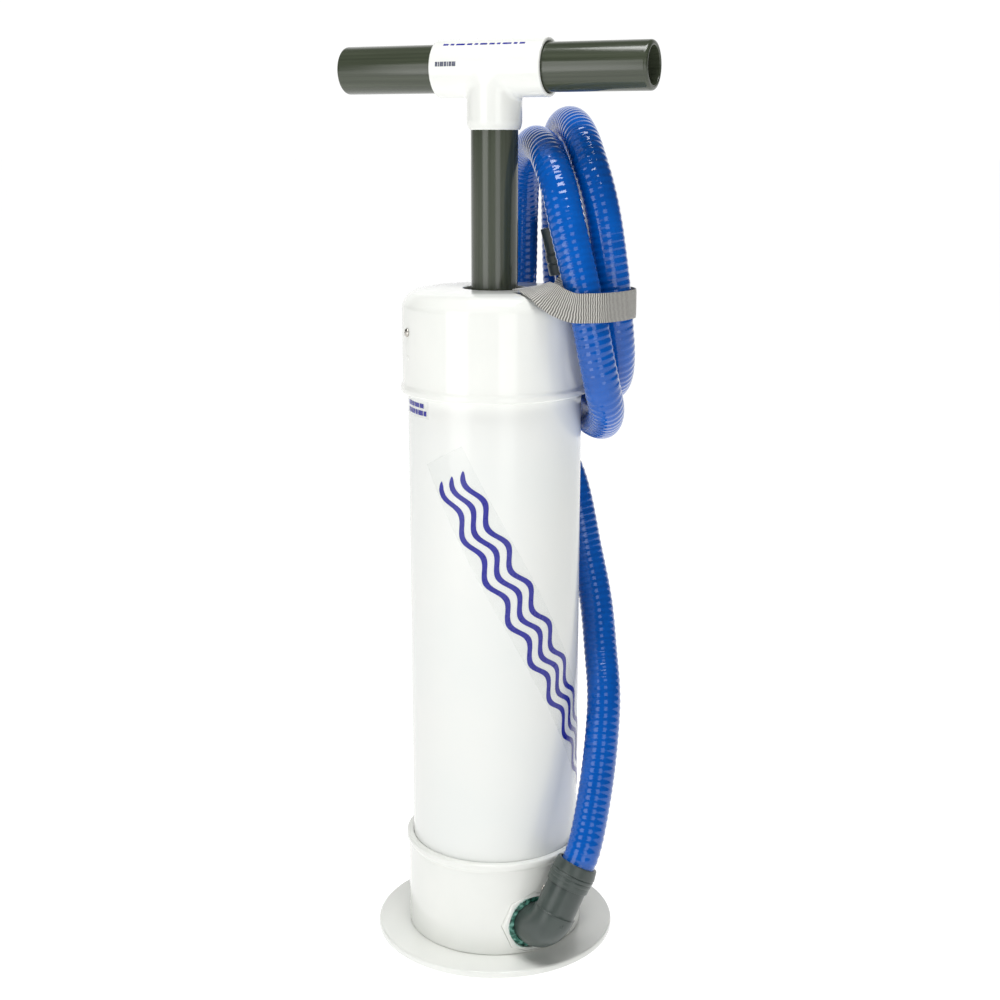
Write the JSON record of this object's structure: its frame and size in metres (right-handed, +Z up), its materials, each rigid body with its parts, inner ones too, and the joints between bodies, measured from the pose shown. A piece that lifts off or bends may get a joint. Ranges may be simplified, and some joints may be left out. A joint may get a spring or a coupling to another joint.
{
  "type": "bilge pump",
  "caption": "Hand piston pump: white pipe barrel on a foot flange, T-handled plunger rod, side outlet elbow and a coiled, strapped blue hose.",
  "frame": {"origin": "centre of the foot flange's underside, on the floor", "axes": "+Z up along the barrel and the pump rod, -Y towards the front, with the outlet at the front right"},
  "size_m": [0.286, 0.2817, 0.8448],
  "materials": {
    "white_plastic": "gloss",
    "inner_plastic": "satin",
    "grey_pipe": "satin",
    "grey_fitting": "satin",
    "blue_hose": "gloss",
    "webbing": "woven",
    "sealing_compound": "satin",
    "black_rubber": "matt",
    "steel": "brushed",
    "barrel_decal": "gloss"
  },
  "bodies": {
    "pump_body": {"base_flange": "white_plastic", "base_cap": "white_plastic", "cylinder_tube": "white_plastic", "top_cap": "white_plastic", "outlet_bushing": "white_plastic", "outlet_elbow": "grey_fitting", "sealing_ring": "sealing_compound", "outlet_flap_pin": "steel", "hose_cuff": "grey_fitting", "hose": "blue_hose", "hose_end_cuff": "grey_fitting", "hose_strap": "webbing", "strap_screw": "steel", "bottom_bumper": "black_rubber", "base_cap_screw_1": "steel", "base_cap_screw_2": "steel", "top_cap_screw_1": "steel", "top_cap_screw_2": "steel", "flange_screw_1": "steel", "flange_screw_2": "steel", "flange_screw_3": "steel", "flange_screw_4": "steel"},
    "piston": {"piston_upper_plate": "inner_plastic", "piston_lower_plate": "inner_plastic", "piston_cup_seal": "black_rubber", "inlet_flap_sleeve": "steel"},
    "rod_and_handle": {"pump_rod": "grey_pipe", "rod_end_plug": "inner_plastic", "piston_bolt": "steel", "piston_lock_nut": "steel", "inlet_flap_retainer": "steel", "handle_tee": "white_plastic", "left_grip": "grey_pipe", "right_grip": "grey_pipe"},
    "inlet_valve": {"inlet_flap": "black_rubber"},
    "outlet_valve": {"outlet_flap": "black_rubber"}
  },
  "joints": [
    {"name": "pump_stroke", "type": "slide", "parent": "pump_body", "child": "piston", "axis": [0, 0, 1], "range_m": [0, 0.5]},
    {"name": "handle_turn", "type": "hinge", "parent": "piston", "child": "rod_and_handle", "pos_m": [0, 0, 0.1], "axis": [0, 0, 1], "continuous": true},
    {"name": "inlet_flap_lift", "type": "slide", "parent": "piston", "child": "inlet_valve", "axis": [0, 0, 1], "range_m": [0, 0.005]},
    {"name": "outlet_flap_swing", "type": "hinge", "parent": "pump_body", "child": "outlet_valve", "pos_m": [0.02976, -0.06103, 0.0517], "axis": [-0.8988, -0.4384, 0], "range_deg": [0, 35]}
  ]
}
